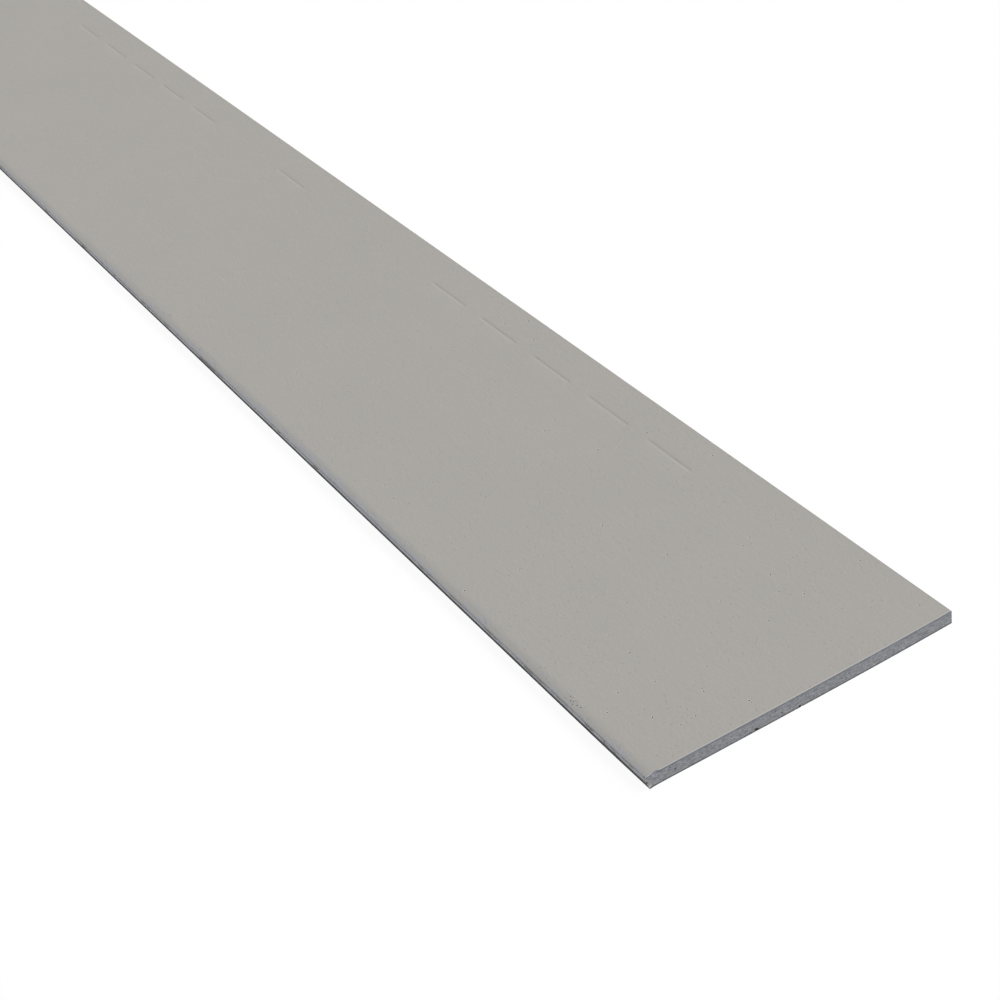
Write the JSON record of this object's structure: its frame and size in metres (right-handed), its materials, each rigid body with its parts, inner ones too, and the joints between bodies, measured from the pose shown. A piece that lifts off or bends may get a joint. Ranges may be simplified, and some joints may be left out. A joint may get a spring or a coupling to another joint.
{
  "type": "fiber cement lap siding plank",
  "caption": "Long flat cladding plank of fiber cement with a rounded drip edge, a square top edge and a pressed dashed nailing line, primed on its face.",
  "frame": {"origin": "middle of the plank's back, the face it lies on", "axes": "+X along the plank, towards the cut end that the picture shows, +Y from the drip edge to the top edge, +Z from the back to the primed face"},
  "size_m": [3.6576, 0.1842, 0.0079],
  "materials": {
    "siding_plank": "matte factory primer on the face, raw fiber cement on the cut ends and the back"
  },
  "bodies": {
    "root": {"siding_plank": "siding_plank"}
  },
  "joints": []
}
